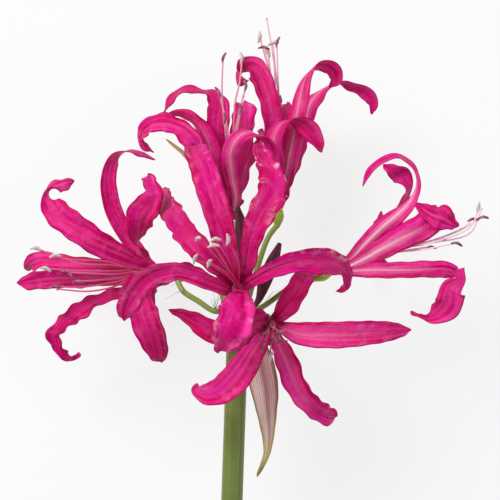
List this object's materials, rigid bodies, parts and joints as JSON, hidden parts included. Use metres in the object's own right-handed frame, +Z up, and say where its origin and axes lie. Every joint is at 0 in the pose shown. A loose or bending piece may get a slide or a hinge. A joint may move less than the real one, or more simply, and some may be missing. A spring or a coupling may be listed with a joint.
{
  "type": "cut nerine stem",
  "caption": "Leafless flower stem lying on its back, with an umbel of open pink lily-like florets with long stamens, papery bracts and withered buds.",
  "frame": {"origin": "middle of the object's footprint on the surface it lies on", "axes": "+Y along the stem from its cut end toward the flowers, +Z up, +X to the right of someone who looks down on it"},
  "size_m": [0.1744, 0.4424, 0.1018],
  "materials": {
    "tepal": "satin petal",
    "stamen": "matt",
    "pedicel": "satin stalk",
    "scape": "satin stalk",
    "spathe": "papery",
    "bud": "withered, matt"
  },
  "bodies": {
    "root": {"scape": "scape", "spathe_front": "spathe", "spathe_back": "spathe", "bud_right": "bud", "bud_middle": "bud", "centre_tepals": "tepal", "centre_stamens": "stamen", "centre_pedicel": "pedicel", "lower_right_tepals": "tepal", "lower_right_stamens": "stamen", "lower_right_pedicel": "pedicel", "left_tepals": "tepal", "left_stamens": "stamen", "left_pedicel": "pedicel", "back_left_tepals": "tepal", "back_left_stamens": "stamen", "back_left_pedicel": "pedicel", "upper_left_tepals": "tepal", "upper_left_stamens": "stamen", "upper_left_pedicel": "pedicel", "top_tepals": "tepal", "top_stamens": "stamen", "top_pedicel": "pedicel", "right_tepals": "tepal", "right_stamens": "stamen", "right_pedicel": "pedicel"}
  },
  "joints": []
}
